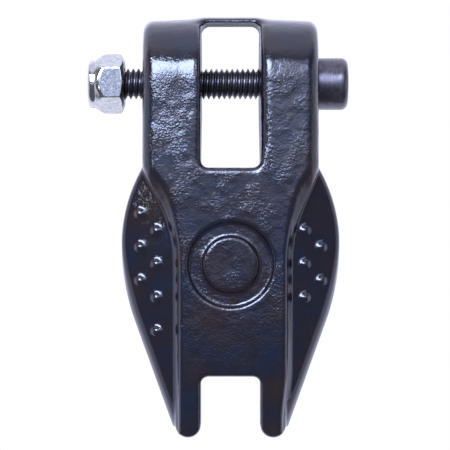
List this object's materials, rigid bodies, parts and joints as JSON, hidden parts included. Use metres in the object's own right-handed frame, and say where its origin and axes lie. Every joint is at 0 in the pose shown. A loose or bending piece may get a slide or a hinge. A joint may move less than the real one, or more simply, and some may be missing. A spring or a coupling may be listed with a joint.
{
  "type": "hook safety latch kit",
  "caption": "Cast safety latch for a lifting hook: ears on a pivot screw with lock nut and return springs, winged body with grip studs, and a forked tip.",
  "frame": {"origin": "on the pivot screw's axis, midway between the latch's two ears", "axes": "+X along the pivot axis towards the screw's head, -Y towards the front face with the ring groove, +Z from the forked tip towards the barrel"},
  "size_m": [0.0497, 0.027, 0.0797],
  "materials": {
    "black_paint": "glossy blue-black enamel over a rough casting",
    "black_oxide": "satin black oxide",
    "zinc": "bright blue-white zinc plate",
    "nylon": "natural translucent nylon",
    "spring_wire": "drawn stainless spring wire"
  },
  "bodies": {
    "pivot": {"socket_screw": "black_oxide"},
    "latch": {"latch_body": "black_paint", "left_spring": "spring_wire", "right_spring": "spring_wire"},
    "insert": {"nylon_ring": "nylon"},
    "nut": {"lock_nut": "zinc"}
  },
  "joints": [
    {"name": "latch_swing", "type": "hinge", "parent": "pivot", "child": "latch", "pos_m": [0, 0, 0], "axis": [1, 0, 0], "range_deg": [0, 55], "stiffness_Nm_per_rad": 0.12, "springref_deg": -45.84, "deforming": ["left_spring", "right_spring"]},
    {"name": "nut_travel", "type": "slide", "parent": "pivot", "child": "insert", "axis": [1, 0, 0], "range_m": [-0.003, 0.00375]},
    {"name": "nut_turn", "type": "hinge", "parent": "insert", "child": "nut", "pos_m": [-0.0236, 0, 0], "axis": [1, 0, 0], "range_deg": [-1080.5, 1350.5]}
  ],
  "couplings": [
    {"joint": "nut_turn", "follows": "nut_travel", "rad_per_m": 6283.2}
  ]
}
